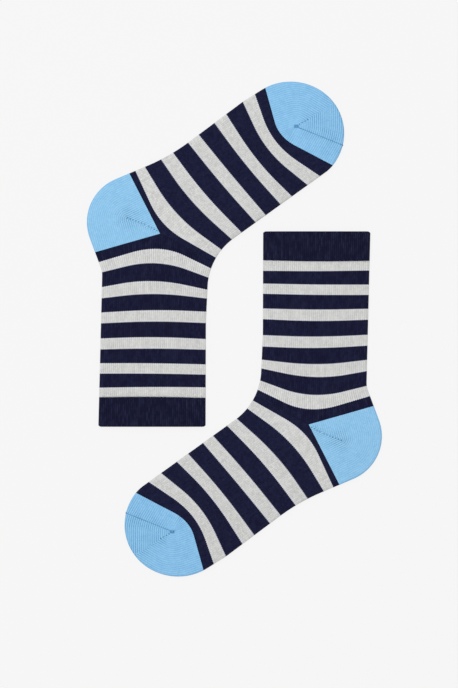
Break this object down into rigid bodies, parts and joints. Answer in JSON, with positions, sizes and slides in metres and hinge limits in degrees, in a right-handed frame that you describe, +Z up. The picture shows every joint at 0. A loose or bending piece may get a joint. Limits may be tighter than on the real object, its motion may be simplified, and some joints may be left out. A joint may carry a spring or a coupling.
{
  "type": "pair of socks",
  "caption": "Pair of striped knitted crew socks lying flat, with a plain ribbed cuff, a gored heel and a rounded toe in a second colour.",
  "frame": {"origin": "centre of the pair's box, on the surface that the socks lie on", "axes": "+Y along the legs, from the left sock's cuff to its ankle; +X across the pair, towards the right sock; +Z up from the surface"},
  "size_m": [0.192, 0.322, 0.0041],
  "materials": {
    "navy_knit": "matte",
    "striped_knit": "matte",
    "blue_knit": "matte"
  },
  "bodies": {
    "root": {"left_sock_cuff": "navy_knit", "left_sock_leg": "striped_knit", "left_sock_heel": "blue_knit", "left_sock_foot": "striped_knit", "left_sock_toe": "blue_knit", "right_sock_cuff": "navy_knit", "right_sock_leg": "striped_knit", "right_sock_heel": "blue_knit", "right_sock_foot": "striped_knit", "right_sock_toe": "blue_knit"}
  },
  "joints": []
}
